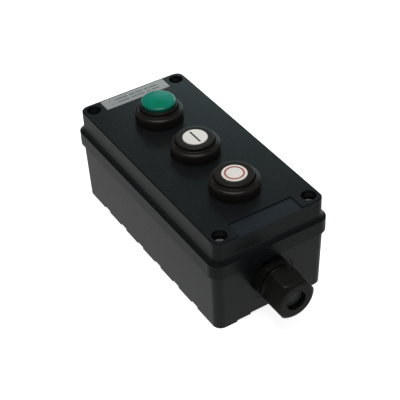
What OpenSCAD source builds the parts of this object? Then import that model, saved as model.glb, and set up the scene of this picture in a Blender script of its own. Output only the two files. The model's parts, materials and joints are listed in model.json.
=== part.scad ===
// Pushbutton control station: a moulded box with a screwed lid, one green pilot light,
// a start button, a stop button and a cable gland. The origin is the centre of the back
// face, +Z points out of the lid, +Y to the pilot light and -Y to the gland.

/* [Enclosure] */
// Width of the lid's flat top
lid_w = 72; // [68:0.5:90]
// Length of the lid's flat top
lid_l = 153.6; // [150:0.2:190]
// Height of the lid's top above the back face
total_h = 63.5; // [60:0.5:80]
// Radius of the lid's corners
corner_r = 5; // [4:0.5:8]
// Distance of the lid screws from the lid's sides
screw_in = 6.7; // [6.2:0.1:8]
// How far the skirt stands out past the lid's long sides
rim_out_x = 2.8; // [2.4:0.1:4]
// How far the skirt stands out past the lid's short sides
rim_out_y = 2.1; // [2:0.1:4]
// Height of the skirt that laps over the base
rim_h = 9; // [6:0.5:12]
// Height of the lid's upright band under its top
lid_band_h = 10; // [8:0.5:14]
// Height of the hollow shoulder between the band and the skirt
shoulder_h = 4.5; // [3.5:0.5:8]
// Thickness of the skirt
skirt_t = 1.5; // [1.2:0.1:1.8]
// Gap between the skirt and the base inside it
lap_gap = 0.25; // [0.15:0.05:0.5]
// Thickness of the base's walls at the top
base_wall = 3.2; // [2.8:0.1:4]
// Thickness of the base's floor
floor_t = 3; // [2.6:0.1:5]
// Thickness of the lid's walls
lid_wall = 3; // [2.4:0.1:4]
// Thickness of the lid's top
lid_t = 3; // [2.4:0.1:4]
// Draft of the base's walls from the skirt to the back face
draft = 0.8; // [0.3:0.1:1.2]
// Width of the recessed fields at the lid's ends
field_w = 11.6; // [8:0.2:13]
// Length of the bare field beside the gland
field_l = 41.4; // [30:0.2:48]
// Length of the label plate at the other end
label_l = 44.6; // [30:0.2:48]
// Distance of the label plate from the lid's end
label_in = 1.4; // [0.6:0.2:3]
// Depth of the recessed fields
field_depth = 0.7; // [0.4:0.1:1.2]

/* [Back face] */
// Radius of the mounting holes
mount_hole_r = 2.6; // [2:0.1:3.2]
// Mounting hole's step in from the lid screw, across the box
mount_in_x = 5.3; // [4:0.1:7]
// Mounting hole's step in from the lid screw, along the box
mount_in_y = 10.1; // [9:0.1:12]
// Radius of the boss round a mounting hole
mount_boss_r = 5; // [4.4:0.1:6]
// Height of that boss above the floor
mount_boss_h = 2; // [1:0.2:4]
// Notches along the bottom edge of each long side
notch_count = 6; // [2:1:6]
// Pitch of the notches
notch_pitch = 20.6; // [12:0.2:22]
// Length of a notch
notch_l = 6.5; // [4:0.5:9]
// Height of a notch
notch_h = 1.4; // [0.8:0.1:2]
// How deep the notches and the end arches cut in
notch_depth = 4; // [3:0.5:6]
// Half lengths of the stepped arch under each short side
arch_half = [23, 14];
// Heights of the stepped arch
arch_h = [1, 2.1];

/* [Lid screws and gasket] */
// Radius of the screw wells
well_r = 4.4; // [4:0.1:5]
// Depth of the screw heads' tops below the lid's top
head_depth = 4.9; // [3:0.1:6.4]
// Radius of a lid screw's head
screw_head_r = 3.5; // [3:0.1:3.8]
// Height of a lid screw's head
screw_head_h = 2.6; // [2:0.1:3]
// Radius of a lid screw's shank
screw_r = 2; // [1.5:0.1:2.2]
// Length of a lid screw under its head
screw_l = 16; // [12:0.5:18]
// Radius of a threaded insert
insert_r = 2.9; // [2.7:0.1:3.2]
// Length of a threaded insert
insert_l = 9; // [6:0.5:10]
// Width of the gasket
gasket_w = 2.1; // [1.6:0.1:2.2]
// Height of the gasket, pressed
gasket_h = 1.6; // [1.3:0.1:1.9]
// Gap between the lid and the top of the base's wall
seat_gap = 0.6; // [0.3:0.1:0.8]
// Distance from the base's outside to the gasket
seal_inset = 0.9; // [0.7:0.1:1.1]

/* [Operators] */
// Distance between neighbouring operators
op_pitch = 40.8; // [38:0.2:44]
// Radius of the bezels
bezel_r = 14.7; // [14.2:0.1:16]
// Height of the bezels above the lid
bezel_h = 6.8; // [6.6:0.1:8.4]
// Radius of the buttons' caps and of the pilot light's collar
cap_r = 11.4; // [10.9:0.1:11.6]
// Height of the white discs' faces and of the collar above the lid
cap_h = 10; // [9.6:0.1:12]
// Travel of the buttons
travel = 3.6; // [2.6:0.1:4]
// Radius of the white discs on the caps
disc_r = 7.3; // [6:0.1:8.4]
// Thickness of the white discs
disc_t = 0.9; // [0.6:0.1:1.2]
// Outer radius of the guides' threads
guide_r = 11; // [10.8:0.1:11.3]
// Depth of the guides' ends below the lid's top
guide_depth = 16; // [15:0.5:20]
// Thickness of the locknuts
locknut_t = 4.5; // [3:0.5:5]
// Thickness of the seals under the bezels
seal_t = 0.8; // [0.5:0.1:1.5]
// Radius of the stems
stem_r = 2.6; // [2.2:0.1:3]
// Height of the lens above its collar
lens_h = 3.9; // [2.6:0.1:8]
// Radius of the lens
lens_r = 10.3; // [10:0.1:11.3]

/* [Contact blocks] */
// Hollow of a contact block across the box
cavity_w = 25; // [24:0.5:30]
// Hollow of a contact block along the box
cavity_l = 22.8; // [21.8:0.2:28.6]
// Height of a contact block
block_h = 32; // [31:0.5:36]
// Height of the pilot light's block
lamp_block_h = 22; // [18:0.5:30]
// Distance of the two poles from the block's middle
pole_y = 6.5; // [6.3:0.1:6.8]
// Share of the button's travel that a contact bridge makes
bridge_share = 0.65; // [0.55:0.05:0.75]

/* [Gland] */
// Distance across the flats of the gland's hexagons
gland_af = 24; // [23:0.5:27]
// Radius of the gland's thread
gland_thread_r = 10; // [9.4:0.1:10.2]
// Thickness of the gland's flange
gland_flange_t = 4.6; // [3:0.2:7]
// Free length of neck between the flange and the cap nut
gland_neck_l = 4.8; // [1:0.2:8]
// Length of the cap nut's full hexagon
gland_hex_l = 10.1; // [8:0.1:12]
// Length of the cap nut's rounded nose
gland_nose_l = 3.3; // [3:0.1:5]
// Radius of the opening in the cap nut
gland_mouth_r = 6.2; // [4:0.1:6.5]
// Length of that opening
gland_mouth_l = 3.8; // [2:0.1:4.4]

/* [Hidden] */
$fn = 72;
// Overrun of every cut past the face that it opens
over = 1;
// Facets of a circle inside a hull
hull_fn = 32;
// Thickness of the slices that a hull joins
slice_t = 0.02;
// Free gap between pieces that only lie beside each other
gap = 0.3;
// Radial play of a thread or a running fit
fit = 0.05;
// Edge break of the moulded lid
edge = 0.6;

// Levels of the enclosure, from the back face
band_z = total_h - lid_band_h;
rim_z = band_z - shoulder_h;
skirt_z = rim_z - rim_h;
seat_z = rim_z + seat_gap;
groove_z = rim_z + gasket_h;
lid_in_z = total_h - lid_t;
well_z = total_h - head_depth - screw_head_h;
// Outlines of the enclosure
rim_w = lid_w + 2 * rim_out_x;
rim_l = lid_l + 2 * rim_out_y;
rim_r = corner_r + rim_out_y;
base_w = rim_w - 2 * (skirt_t + lap_gap);
base_l = rim_l - 2 * (skirt_t + lap_gap);
base_r = rim_r - skirt_t - lap_gap;
base_in_w = base_w - 2 * base_wall;
base_in_l = base_l - 2 * base_wall;
base_in_r = base_r - base_wall;
screw_x = lid_w / 2 - screw_in;
screw_y = lid_l / 2 - screw_in;
mount_x = screw_x - mount_in_x;
mount_y = screw_y - mount_in_y;
// The shoulder's hollow curve: share of its height, share of the skirt's overhang
shoulder_share = [[0, 1], [0.28, 0.46], [0.62, 0.12], [1, 0]];
label_proud = 0.1;
// Clear radius round a lid screw and the post in the lid that rests on the base
screw_clear_r = screw_r + 0.2 * screw_r;
land_r = insert_r + seat_gap;
recess_cross = [screw_head_r * 1.3, screw_head_r * 0.32, screw_head_h / 2];

// Levels of an operator, from the lid's top
lip_t = 0.8;
flange_t = 0.9;
flange_out = 0.9;
flange_z = seal_t + lip_t + flange_t;
cap_under_z = flange_z + gap + travel;
disc_proud = 0.3;
cap_z = cap_h - disc_proud;
edge_break = 0.2;
bezel_rim = 1.6;
// The bezel's rounded rim: shares of the rim's size inwards and down
rim_share = [[0, 1], [0.07, 0.68], [0.25, 0.38], [0.5, 0.16], [0.8, 0.04], [1.1, 0]];
// The cap's rounded edge: shares of its size inwards and down
cap_rim = 0.5;
cap_share = [[1, 0], [0.66, 0.06], [0.38, 0.21], [0.17, 0.45], [0.05, 0.74], [0, 1]];
guide_wall = 1.1;
guide_bore_r = guide_r - guide_wall;
lid_hole_r = guide_r + 4 * fit;
guide_tail_l = 5;
floor_depth = guide_depth - guide_tail_l;
guide_floor_t = 2;
flange_r = guide_r + flange_out;
bezel_bore_r = flange_r + gap;
// The bezel's raised inner lip, which stands closer to the cap than the bore below it
crest_gap = 0.4;
crest_rise = 1.1;
crest_w = 0.5;
crest_l = 3.3;
crest_r = cap_r + crest_gap;
crest_z = bezel_h + crest_rise;
skirt_r = guide_bore_r - gap;
cap_skirt_t = 1.5;
cap_skirt_l = 10.4;
cap_boss_t = 1.6;
cap_boss_r = stem_r + cap_boss_t;
cap_boss_l = 5.4;
collar_t = 0.7;
collar_out = 1.6;
collar_r = stem_r + collar_out;
stem_z = -floor_depth - guide_floor_t - gap - collar_t;
membrane_t = 0.8;
locknut_out = 1.3;
locknut_r = bezel_r + locknut_out;
spring_wire_r = 0.5;
spring_r = (skirt_r - cap_skirt_t + cap_boss_r) / 2;
spring_turns = 5;
ring_in_r = disc_r * 2 / 3;
ring_w = 0.9;
line_w = 1.1;
line_l = disc_r * 1.5;
lens_t = 1.5;
lens_edge = 0.8;
lens_edge_turn = 77;
dome_share = 0.29;
spigot_r = guide_bore_r - gap;
spigot_l = 3;
symbol_t = 0.15;
start_y = 0;
stop_y = start_y - op_pitch;
lamp_y = start_y + op_pitch;

// Levels of a contact block, from its top
block_wall = 2.5;
cover_t = 2;
cover_ledge = 0.8;
cover_play = 0.1;
post_out = 0.4;
post_r = stem_r + post_out;
pocket_wall = 1.2;
pocket_d = 6.8;
end_wall = 2.6;
block_w = cavity_w + 2 * (pocket_wall + pocket_d);
block_l = cavity_l + 2 * end_wall;
post_l = 4.5;
bar_h = 15.5;
bar_t = 5;
cross_end = 0.9;
cross_l = cavity_l - 2 * cross_end;
window_w = 5;
window_top = -7.5;
window_bottom = -17;
bridge_t = 1;
bridge_end = 0.7;
bridge_l = cavity_w - 2 * bridge_end;
bridge_play = 0.5;
bridge_w = window_w - 2 * bridge_play;
tip_in = 1.8;
tip_x = bridge_l / 2 - tip_in;
tip_r = 1.5;
tip_h = 0.8;
touch = 0.1;
bridge_travel = travel * bridge_share;
open_bridge_z = window_bottom + touch;
closed_bridge_z = window_top - (travel - bridge_travel) - touch - bridge_t;
strip_t = 1;
strip_w = 5;
strip_end = 2;
strip_in_x = tip_x - strip_end;
strip_out_x = block_w / 2 - gap;
open_strip_z = open_bridge_z - 2 * tip_h - bridge_travel - touch - strip_t;
closed_strip_z = closed_bridge_z + bridge_t + 2 * tip_h + touch;
lamp_strip_z = -10;
pocket_w = 6.8;
term_x = (cavity_w / 2 + pocket_wall + strip_out_x) / 2;
term_head_r = 2.6;
term_head_h = 2;
term_r = 1.45;
term_grip = 3.4;
clip_h = 5.5;
clip_t = 1.8;
contact_wire_r = 0.25;
contact_spring_r = 1.5;
contact_turns = 6;
board_t = 1.6;
led_r = 4;
led_h = 11;

// The gland's axis stands at this share of the base's wall under the skirt
gland_share = 20 / 37;
gland_z = floor_t + (skirt_z - floor_t) * gland_share;
// Levels of the gland, from the spot face on the wall
gland_y = -(base_l / 2 - draft);
gland_wall = -gland_y - base_in_l / 2;
hex_r = gland_af / 2 / cos(30);
washer_t = 1.2;
gland_nut_t = 4.5;
gland_flange_z = washer_t + gland_flange_t;
cap_back_z = gland_flange_z + gland_neck_l;
nose_z = cap_back_z + gland_hex_l;
gland_tip_z = nose_z + gland_nose_l;
mouth_z = gland_tip_z - gland_mouth_l;
plug_t = 1.6;
plug_lap = 2.3;
plug_r = gland_mouth_r + plug_lap;
neck_out = 0.5;
neck_r = gland_thread_r + neck_out;
neck_top = cap_back_z + gland_hex_l / 2;
gland_bore_r = gland_thread_r * 0.74;
seat_r = gland_thread_r * 0.88;
seat_depth = gland_hex_l * 0.66;
seal_bore_r = gland_mouth_r + gap;
// The cap nut's nose: share of the corner radius, share of the nose's length
nose_share = [[1.01, 0], [0.96, 0.36], [0.89, 0.68], [0.8, 0.92], [0.74, 1]];

// The earth bar on the floor beside the gland
bar_y = -mount_y - gap;
pillar_h = 5;
pillar_r = 4;
earth_w = 8;
earth_t = 4;
earth_end = 2;
earth_l = 2 * (mount_x - mount_boss_r - earth_end);
pillar_x = earth_l / 2 - earth_w / 2;
earth_head_r = 2.7;
earth_head_h = 2.2;
earth_r = 1.6;
// As many screws as fit between the two pillars
earth_n = max(0, floor(2 * pillar_x / (2 * earth_head_r + 2 * gap)) - 1);
earth_pitch = 2 * pillar_x / (earth_n + 1);

moulding = "#26292a";
operator_black = "#171714";
rubber_black = "#101010";
steel = "#b9bcbe";
brass = "#b08d45";
housing_grey = "#3a3d40";
lens_green = "#0f8a5f";

module rrect(w, l, r) {
    square([w - 2 * r, l], center = true);
    square([w, l - 2 * r], center = true);
    for (sx = [-1, 1], sy = [-1, 1]) translate([sx * (w / 2 - r), sy * (l / 2 - r)]) circle(r = r);
}

module slab(z0, z1, w, l, r) {
    translate([0, 0, z0]) linear_extrude(height = z1 - z0) rrect(w, l, r);
}

// A smooth step from one outline to another
module blend(z0, w0, l0, r0, z1, w1, l1, r1) {
    hull() {
        slab(z0, z0 + slice_t, w0, l0, r0, $fn = hull_fn);
        slab(z1 - slice_t, z1, w1, l1, r1, $fn = hull_fn);
    }
}

module at_screws() {
    for (sx = [-1, 1], sy = [-1, 1]) translate([sx * screw_x, sy * screw_y]) children();
}

module tube(r, bore, z0, z1) {
    translate([0, 0, z0]) difference() {
        cylinder(r = r, h = z1 - z0);
        translate([0, 0, -over]) cylinder(r = bore, h = z1 - z0 + 2 * over);
    }
}

// The gasket's outline, moved inwards by d, with a round eye at each lid screw
module seal_path(d) {
    inset = seal_inset + d;
    difference() {
        rrect(base_w - 2 * inset, base_l - 2 * inset, base_r - inset);
        at_screws() circle(r = land_r + gap + d);
    }
}

// A round wire wound to a helix, standing on z = 0
module coil(r, wire_r, length, turns, steps = 14, sides = 6) {
    n = turns * steps;
    rise = (length - 2 * wire_r) / n;
    points = [
        for (i = [0:n], k = [0:sides - 1])
            let (a = 360 * i / steps, b = 360 * k / sides, q = r + wire_r * cos(b))
            [q * cos(a), q * sin(a), wire_r + rise * i + wire_r * sin(b)]
    ];
    walls = [
        for (i = [0:n - 1], k = [0:sides - 1])
            let (a = i * sides + k, b = i * sides + (k + 1) % sides)
            each [[a, b, a + sides], [b, b + sides, a + sides]]
    ];
    caps = [
        for (k = [1:sides - 2]) each [[0, k + 1, k], [n * sides, n * sides + k, n * sides + k + 1]]
    ];
    polyhedron(points = points, faces = concat(walls, caps), convexity = 8);
}

module base_box() {
    color(moulding) difference() {
        union() {
            blend(0, base_w - 2 * draft, base_l - 2 * draft, base_r, skirt_z, base_w, base_l, base_r);
            slab(skirt_z - slice_t, rim_z, base_w, base_l, base_r);
        }
        difference() {
            slab(floor_t, rim_z + over, base_in_w, base_in_l, base_in_r);
            at_screws() cylinder(r = screw_in, h = rim_z + 2 * over);
            for (sx = [-1, 1], sy = [-1, 1]) translate([sx * mount_x, sy * mount_y])
                cylinder(r = mount_boss_r, h = floor_t + mount_boss_h);
            for (s = [-1, 1]) translate([s * pillar_x, bar_y])
                cylinder(r = pillar_r, h = floor_t + pillar_h);
        }
        at_screws() translate([0, 0, rim_z - insert_l]) cylinder(r = insert_r, h = insert_l + over);
        at_screws() translate([0, 0, well_z - screw_l - over])
            cylinder(r = screw_clear_r, h = screw_l + over);
        for (sx = [-1, 1], sy = [-1, 1]) translate([sx * mount_x, sy * mount_y, -over])
            cylinder(r = mount_hole_r, h = floor_t + mount_boss_h + 2 * over);
        for (s = [-1, 1]) translate([s * pillar_x, bar_y, floor_t])
            cylinder(r = earth_r, h = pillar_h + over);
        for (s = [-1, 1], i = [0:notch_count - 1])
            translate([s * base_w / 2, (i - (notch_count - 1) / 2) * notch_pitch, 0])
                cube([2 * notch_depth, notch_l, 2 * notch_h], center = true);
        for (s = [-1, 1], i = [0:len(arch_h) - 1]) translate([0, s * base_l / 2, 0])
            cube([2 * arch_half[i], 2 * notch_depth, 2 * arch_h[i]], center = true);
        at_gland() cylinder(r = hex_r + 2 * gap, h = base_l);
        at_gland() translate([0, 0, -gland_wall - over])
            cylinder(r = gland_thread_r + 4 * fit, h = gland_wall + 2 * over);
    }
}

module lid_outside() {
    slab(band_z - slice_t, total_h - edge + slice_t, lid_w, lid_l, corner_r);
    blend(total_h - edge, lid_w, lid_l, corner_r,
          total_h, lid_w - 2 * edge, lid_l - 2 * edge, corner_r - edge);
    for (i = [0:len(shoulder_share) - 2]) {
        a = shoulder_share[i];
        b = shoulder_share[i + 1];
        blend(rim_z + a[0] * shoulder_h, lid_w + 2 * rim_out_x * a[1], lid_l + 2 * rim_out_y * a[1],
              corner_r + rim_out_y * a[1],
              rim_z + b[0] * shoulder_h, lid_w + 2 * rim_out_x * b[1], lid_l + 2 * rim_out_y * b[1],
              corner_r + rim_out_y * b[1]);
    }
    slab(skirt_z, rim_z + slice_t, rim_w, rim_l, rim_r);
}

// Recess in the lid's top from y0 to y1
module lid_field(l, y0, y1) {
    translate([-l / 2, y0, total_h - field_depth]) cube([l, y1 - y0, field_depth + over]);
}

module lid() {
    color(moulding) difference() {
        lid_outside();
        difference() {
            slab(skirt_z - over, seat_z, base_w + 2 * lap_gap, base_l + 2 * lap_gap,
                 base_r + lap_gap);
            at_screws() translate([0, 0, rim_z]) cylinder(r = land_r, h = total_h);
        }
        difference() {
            slab(seat_z - over, lid_in_z, lid_w - 2 * lid_wall, lid_l - 2 * lid_wall,
                 corner_r - lid_wall);
            at_screws() cylinder(r = screw_in, h = total_h);
        }
        translate([0, 0, seat_z - over]) linear_extrude(height = groove_z - seat_z + over)
            difference() {
                seal_path(0);
                seal_path(gasket_w);
            }
        at_screws() translate([0, 0, well_z]) cylinder(r = well_r, h = total_h);
        at_screws() cylinder(r = screw_clear_r, h = total_h);
        for (y = [lamp_y, start_y, stop_y]) translate([0, y])
            cylinder(r = lid_hole_r, h = total_h + over);
        lid_field(field_l, -lid_l / 2 - over, field_w - lid_l / 2);
        lid_field(label_l + 2 * gap, lid_l / 2 - field_w, lid_l / 2 - label_in + gap);
    }
}

module lid_gasket() {
    color(rubber_black) translate([0, 0, rim_z]) linear_extrude(height = gasket_h) difference() {
        seal_path(fit);
        seal_path(gasket_w - fit);
    }
}

module lid_screws() {
    color(steel) at_screws() difference() {
        union() {
            translate([0, 0, well_z]) cylinder(r = screw_head_r, h = screw_head_h);
            translate([0, 0, well_z - screw_l]) cylinder(r = screw_r - fit, h = screw_l + slice_t);
        }
        for (a = [0, 90]) rotate(a) translate([0, 0, well_z + screw_head_h])
            cube([recess_cross[0], recess_cross[1], 2 * recess_cross[2]], center = true);
    }
}

module threaded_inserts() {
    color(brass) at_screws() tube(insert_r - fit, screw_r, rim_z - insert_l, rim_z);
}

module label_plate() {
    plate_w = field_w - gap - label_in;
    color("#c9cbc8") translate([-label_l / 2, lid_l / 2 - label_in - plate_w, total_h - field_depth])
        cube([label_l, plate_w, field_depth + label_proud]);
}

module earth_bar() {
    color(brass) difference() {
        translate([-earth_l / 2, bar_y - earth_w / 2, floor_t + pillar_h])
            cube([earth_l, earth_w, earth_t]);
        for (s = [-1, 1]) translate([s * pillar_x, bar_y]) cylinder(r = earth_r + fit, h = total_h);
        for (i = [0:earth_n - 1]) translate([(i - (earth_n - 1) / 2) * earth_pitch, bar_y])
            cylinder(r = earth_r + fit, h = total_h);
    }
}

module cheese_screw(head_r, head_h, r, l) {
    difference() {
        union() {
            cylinder(r = head_r, h = head_h);
            translate([0, 0, -l]) cylinder(r = r, h = l + slice_t);
        }
        translate([0, 0, head_h]) cube([3 * head_r, head_r / 3, head_h], center = true);
    }
}

module earth_screws() {
    color(steel) for (i = [0:earth_n - 1])
        translate([(i - (earth_n - 1) / 2) * earth_pitch, bar_y, floor_t + pillar_h + earth_t])
            cheese_screw(earth_head_r, earth_head_h, earth_r, earth_t);
}

module earth_bar_screws() {
    color(steel) for (s = [-1, 1]) translate([s * pillar_x, bar_y, floor_t + pillar_h + earth_t])
        cheese_screw(earth_head_r, earth_head_h, earth_r - fit, earth_t + pillar_h - gap);
}

module at_lid(y) {
    translate([0, y, total_h]) children();
}

module turned(points) {
    rotate_extrude() polygon(points);
}

module bezel() {
    color(operator_black) turned(concat(
        [[lid_hole_r + fit, seal_t], [bezel_r, seal_t]],
        [for (s = rim_share) [bezel_r - bezel_rim * s[0], bezel_h - bezel_rim * s[1]]],
        [[crest_r + crest_w, crest_z], [crest_r + edge_break, crest_z], [crest_r, crest_z - edge_break],
         [crest_r, crest_z - crest_l], [bezel_bore_r, crest_z - crest_l + crest_r - bezel_bore_r],
         [bezel_bore_r, seal_t + lip_t], [lid_hole_r + fit, seal_t + lip_t]]
    ));
}

module bezel_seal() {
    color(rubber_black) tube(bezel_r - gap, lid_hole_r + fit, 0, seal_t);
}

// Threaded guide with its flange; rim lists the points between the flange and the bore
module guide(hole_r, rim) {
    color(operator_black) turned(concat(
        [[guide_r, seal_t + lip_t], [flange_r, seal_t + lip_t], [flange_r, flange_z]],
        rim,
        [[guide_bore_r, -floor_depth], [hole_r, -floor_depth],
         [hole_r, -floor_depth - guide_floor_t], [guide_r - 3 * guide_wall, -floor_depth - guide_floor_t],
         [guide_r - 3 * guide_wall, -guide_depth], [guide_r, -guide_depth]]
    ));
}

module locknut() {
    color(steel) difference() {
        translate([0, 0, -lid_t - locknut_t]) cylinder(r = locknut_r, h = locknut_t, $fn = 6);
        translate([0, 0, -total_h]) cylinder(r = guide_r + fit, h = total_h);
    }
}

module cap() {
    color(operator_black) difference() {
        turned(concat(
            [[0, cap_z]],
            [for (s = cap_share) [cap_r - cap_rim * s[0], cap_z - cap_rim * s[1]]],
            [[cap_r, cap_under_z], [skirt_r, cap_under_z], [skirt_r, cap_under_z - cap_skirt_l],
             [skirt_r - cap_skirt_t, cap_under_z - cap_skirt_l], [skirt_r - cap_skirt_t, cap_under_z],
             [cap_boss_r, cap_under_z], [cap_boss_r, cap_under_z - cap_boss_l],
             [0, cap_under_z - cap_boss_l]]
        ));
        translate([0, 0, cap_h - disc_t]) cylinder(r = disc_r + fit, h = disc_t + over);
        translate([0, 0, cap_under_z - cap_boss_l - over])
            cylinder(r = stem_r + fit, h = cap_boss_l + over);
    }
}

module disc() {
    color("#e4e1d9") translate([0, 0, cap_h - disc_t]) cylinder(r = disc_r, h = disc_t);
}

module stem() {
    color(steel) union() {
        translate([0, 0, stem_z]) cylinder(r = stem_r, h = cap_under_z - stem_z);
        translate([0, 0, stem_z]) cylinder(r = collar_r, h = collar_t);
    }
}

module membrane() {
    color(rubber_black) tube(guide_bore_r - fit, stem_r + gap, -floor_depth, membrane_t - floor_depth);
}

module return_spring() {
    bottom = membrane_t - floor_depth;
    color(steel) translate([0, 0, bottom])
        coil(spring_r, spring_wire_r, cap_under_z - bottom, spring_turns);
}

module at_block(y) {
    at_lid(y) translate([0, 0, -guide_depth]) children();
}

module at_poles() {
    for (s = [-1, 1]) translate([0, s * pole_y]) children();
}

// Pocket, slot and screw hole of the two terminals on one line across the block
module terminal_cuts(strip_z, h) {
    top = strip_z + strip_t;
    out = block_w / 2 + over;
    for (s = [-1, 1]) scale([s, 1, 1]) {
        translate([cavity_w / 2 + pocket_wall, -pocket_w / 2, -h - over])
            cube([out - cavity_w / 2 - pocket_wall, pocket_w, top + h + over]);
        translate([cavity_w / 2 - over, -strip_w / 2 - fit, strip_z - fit])
            cube([pocket_wall + 2 * over, strip_w + 2 * fit, strip_t + fit]);
        translate([term_x, 0, top - over]) cylinder(r = term_r + fit, h = term_grip + over + fit);
    }
}

// Hollow housing that clips on a guide; hole_r is the hole in its top
module block_shell(h, hole_r) {
    difference() {
        union() {
            translate([-block_w / 2, -block_l / 2, -h]) cube([block_w, block_l, h]);
            tube(guide_r + gap + clip_t, guide_r + gap, -slice_t, clip_h);
        }
        translate([-cavity_w / 2, -cavity_l / 2, -h - over])
            cube([cavity_w, cavity_l, h + over - block_wall]);
        translate([-cavity_w / 2, -cavity_l / 2 - cover_ledge, -h - over])
            cube([cavity_w, cavity_l + 2 * cover_ledge, cover_t + over]);
        translate([0, 0, -h]) cylinder(r = hole_r, h = h + over);
    }
}

module contact_block(strip_z) {
    color(housing_grey) difference() {
        block_shell(block_h, collar_r + gap);
        at_poles() terminal_cuts(strip_z, block_h);
    }
}

module block_cover(h) {
    w = cavity_w - 2 * cover_play;
    l = cavity_l + 2 * cover_ledge - 2 * cover_play;
    color(housing_grey) translate([-w / 2, -l / 2, -h]) cube([w, l, cover_t]);
}

module plunger() {
    color("#d8d4c4") difference() {
        union() {
            translate([0, 0, -post_l - slice_t])
                cylinder(r = post_r, h = post_l + slice_t + guide_depth + stem_z);
            translate([-bar_t / 2, -cross_l / 2, -post_l - bar_h]) cube([bar_t, cross_l, bar_h]);
        }
        at_poles() translate([-bar_t, -window_w / 2, window_bottom])
            cube([2 * bar_t, window_w, window_top - window_bottom]);
    }
}

// Two contact bridges; side is 1 where the tips are on top, -1 where they are below
module bridges(z, side) {
    color(brass) at_poles() {
        translate([-bridge_l / 2, -bridge_w / 2, z]) cube([bridge_l, bridge_w, bridge_t]);
        for (s = [-1, 1]) translate([s * tip_x, 0, side > 0 ? z + bridge_t - slice_t : z - tip_h])
            cylinder(r = tip_r, h = tip_h + slice_t);
    }
}

module contact_springs(z0, z1) {
    color(steel) at_poles() translate([0, 0, z0])
        coil(contact_spring_r, contact_wire_r, z1 - z0, contact_turns, 10);
}

// Two terminal strips on one line; side says where their contact tips are, 0 for none
module terminal_pair(z, side) {
    color(brass) for (s = [-1, 1]) scale([s, 1, 1]) difference() {
        union() {
            translate([strip_in_x, -strip_w / 2, z]) cube([strip_out_x - strip_in_x, strip_w, strip_t]);
            if (side != 0) translate([tip_x, 0, side > 0 ? z + strip_t - slice_t : z - tip_h])
                cylinder(r = tip_r, h = tip_h + slice_t);
        }
        translate([term_x, 0, z - over]) cylinder(r = term_r + fit, h = strip_t + 2 * over);
    }
}

module terminal_screw_pair(z) {
    color(steel) for (s = [-1, 1]) translate([s * term_x, 0, z]) rotate([180, 0, 0])
        cheese_screw(term_head_r, term_head_h, term_r, strip_t + term_grip);
}

module lamp_bezel() { at_lid(lamp_y) bezel(); }
module lamp_seal() { at_lid(lamp_y) bezel_seal(); }
module lamp_guide() {
    at_lid(lamp_y) guide(led_r + 3 * gap, [[cap_r, flange_z], [cap_r, cap_h], [guide_bore_r, cap_h]]);
}
module lamp_locknut() { at_lid(lamp_y) locknut(); }

module lamp_lens() {
    steps = 12;
    inner_r = spigot_r - lens_t;
    top = cap_h + lens_h;
    rise = lens_h * dome_share;
    dome_r = lens_r - lens_edge * (1 - cos(lens_edge_turn));
    edge = [for (i = [0:5]) let (a = lens_edge_turn * i / 5)
        [lens_r - lens_edge * (1 - cos(a)), top - rise + lens_edge * (sin(a) - sin(lens_edge_turn))]];
    outer = [for (i = [steps - 1:-1:0]) let (s = i / steps) [dome_r * s, top - rise * pow(s, 2)]];
    inner = [for (i = [0:steps]) let (s = i / steps)
        [inner_r * s, top - lens_t - rise * pow(inner_r * s / dome_r, 2)]];
    color(lens_green) at_lid(lamp_y) turned(concat(
        [[lens_r, cap_h]], edge, outer, inner,
        [[inner_r, cap_h - spigot_l], [spigot_r, cap_h - spigot_l], [spigot_r, cap_h]]
    ));
}

module lamp_block() {
    color(housing_grey) at_block(lamp_y) difference() {
        block_shell(lamp_block_h, led_r + gap);
        terminal_cuts(lamp_strip_z, lamp_block_h);
    }
}

module lamp_block_cover() { at_block(lamp_y) block_cover(lamp_block_h); }

module lamp_board() {
    w = cavity_w - 2 * gap;
    l = cavity_l - 2 * gap;
    color("#1f5a38") at_block(lamp_y) translate([-w / 2, -l / 2, -block_wall - board_t])
        cube([w, l, board_t]);
}

module lamp_led() {
    color("#d9efe0") at_block(lamp_y) {
        translate([0, 0, -block_wall]) cylinder(r = led_r, h = led_h - led_r);
        translate([0, 0, led_h - led_r - block_wall]) intersection() {
            sphere(r = led_r);
            cylinder(r = led_r, h = led_r);
        }
    }
}

module lamp_terminals() { at_block(lamp_y) terminal_pair(lamp_strip_z, 0); }
module lamp_terminal_screws() { at_block(lamp_y) terminal_screw_pair(lamp_strip_z); }

module start_bezel() { at_lid(start_y) bezel(); }
module start_seal() { at_lid(start_y) bezel_seal(); }
module start_guide() { at_lid(start_y) guide(stem_r + fit, [[guide_bore_r, flange_z]]); }
module start_locknut() { at_lid(start_y) locknut(); }
module start_cap() { at_lid(start_y) cap(); }
module start_disc() { at_lid(start_y) disc(); }
module start_bar() {
    color("#1c1c1c") at_lid(start_y) translate([-line_w / 2, -line_l / 2, cap_h])
        cube([line_w, line_l, symbol_t]);
}
module start_stem() { at_lid(start_y) stem(); }
module start_membrane() { at_lid(start_y) membrane(); }
module start_return_spring() { at_lid(start_y) return_spring(); }
module start_block() { at_block(start_y) contact_block(open_strip_z); }
module start_block_cover() { at_block(start_y) block_cover(block_h); }
module start_plunger() { at_block(start_y) plunger(); }
module start_bridges() { at_block(start_y) bridges(open_bridge_z, -1); }
module start_contact_springs() {
    at_block(start_y) contact_springs(open_bridge_z + bridge_t, window_top);
}
module start_terminals() { at_block(start_y) at_poles() terminal_pair(open_strip_z, 1); }
module start_terminal_screws() { at_block(start_y) at_poles() terminal_screw_pair(open_strip_z); }

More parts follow.
